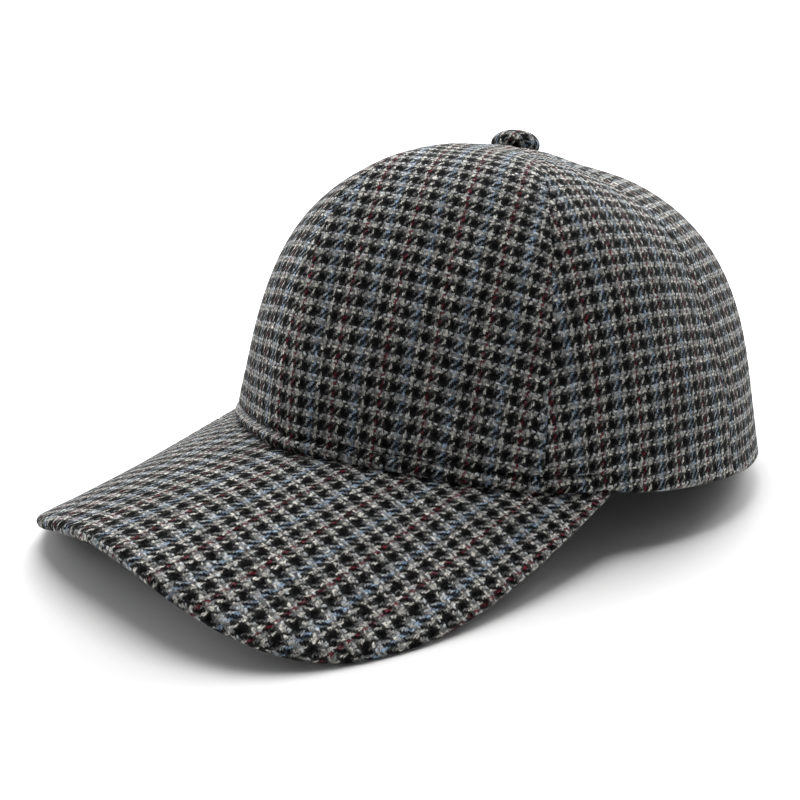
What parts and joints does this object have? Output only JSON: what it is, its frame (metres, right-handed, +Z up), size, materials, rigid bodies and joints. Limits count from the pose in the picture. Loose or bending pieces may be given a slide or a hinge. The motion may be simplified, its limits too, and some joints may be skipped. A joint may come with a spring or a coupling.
{
  "type": "cap",
  "caption": "Soft round tweed cap of eight cloth gores, with a cloth-covered button on top and a stiff curved peak, open underneath for the head.",
  "frame": {"origin": "on the surface that the cap rests on, under the middle of its box", "axes": "+Z up; -Y towards the tip of the peak, the way the wearer looks; +X towards the wearer's left; the hem leans back 7.1 degrees as the cap lies"},
  "size_m": [0.185, 0.26, 0.1174],
  "materials": {
    "tweed": "napped wool tweed in a small black and cream check with thin pale blue and dark red overchecks"
  },
  "bodies": {
    "root": {"gore_front_left": "tweed", "gore_front_right": "tweed", "gore_fore_side_left": "tweed", "gore_fore_side_right": "tweed", "gore_rear_side_left": "tweed", "gore_rear_side_right": "tweed", "gore_back_left": "tweed", "gore_back_right": "tweed", "peak": "tweed", "button": "tweed"}
  },
  "joints": []
}
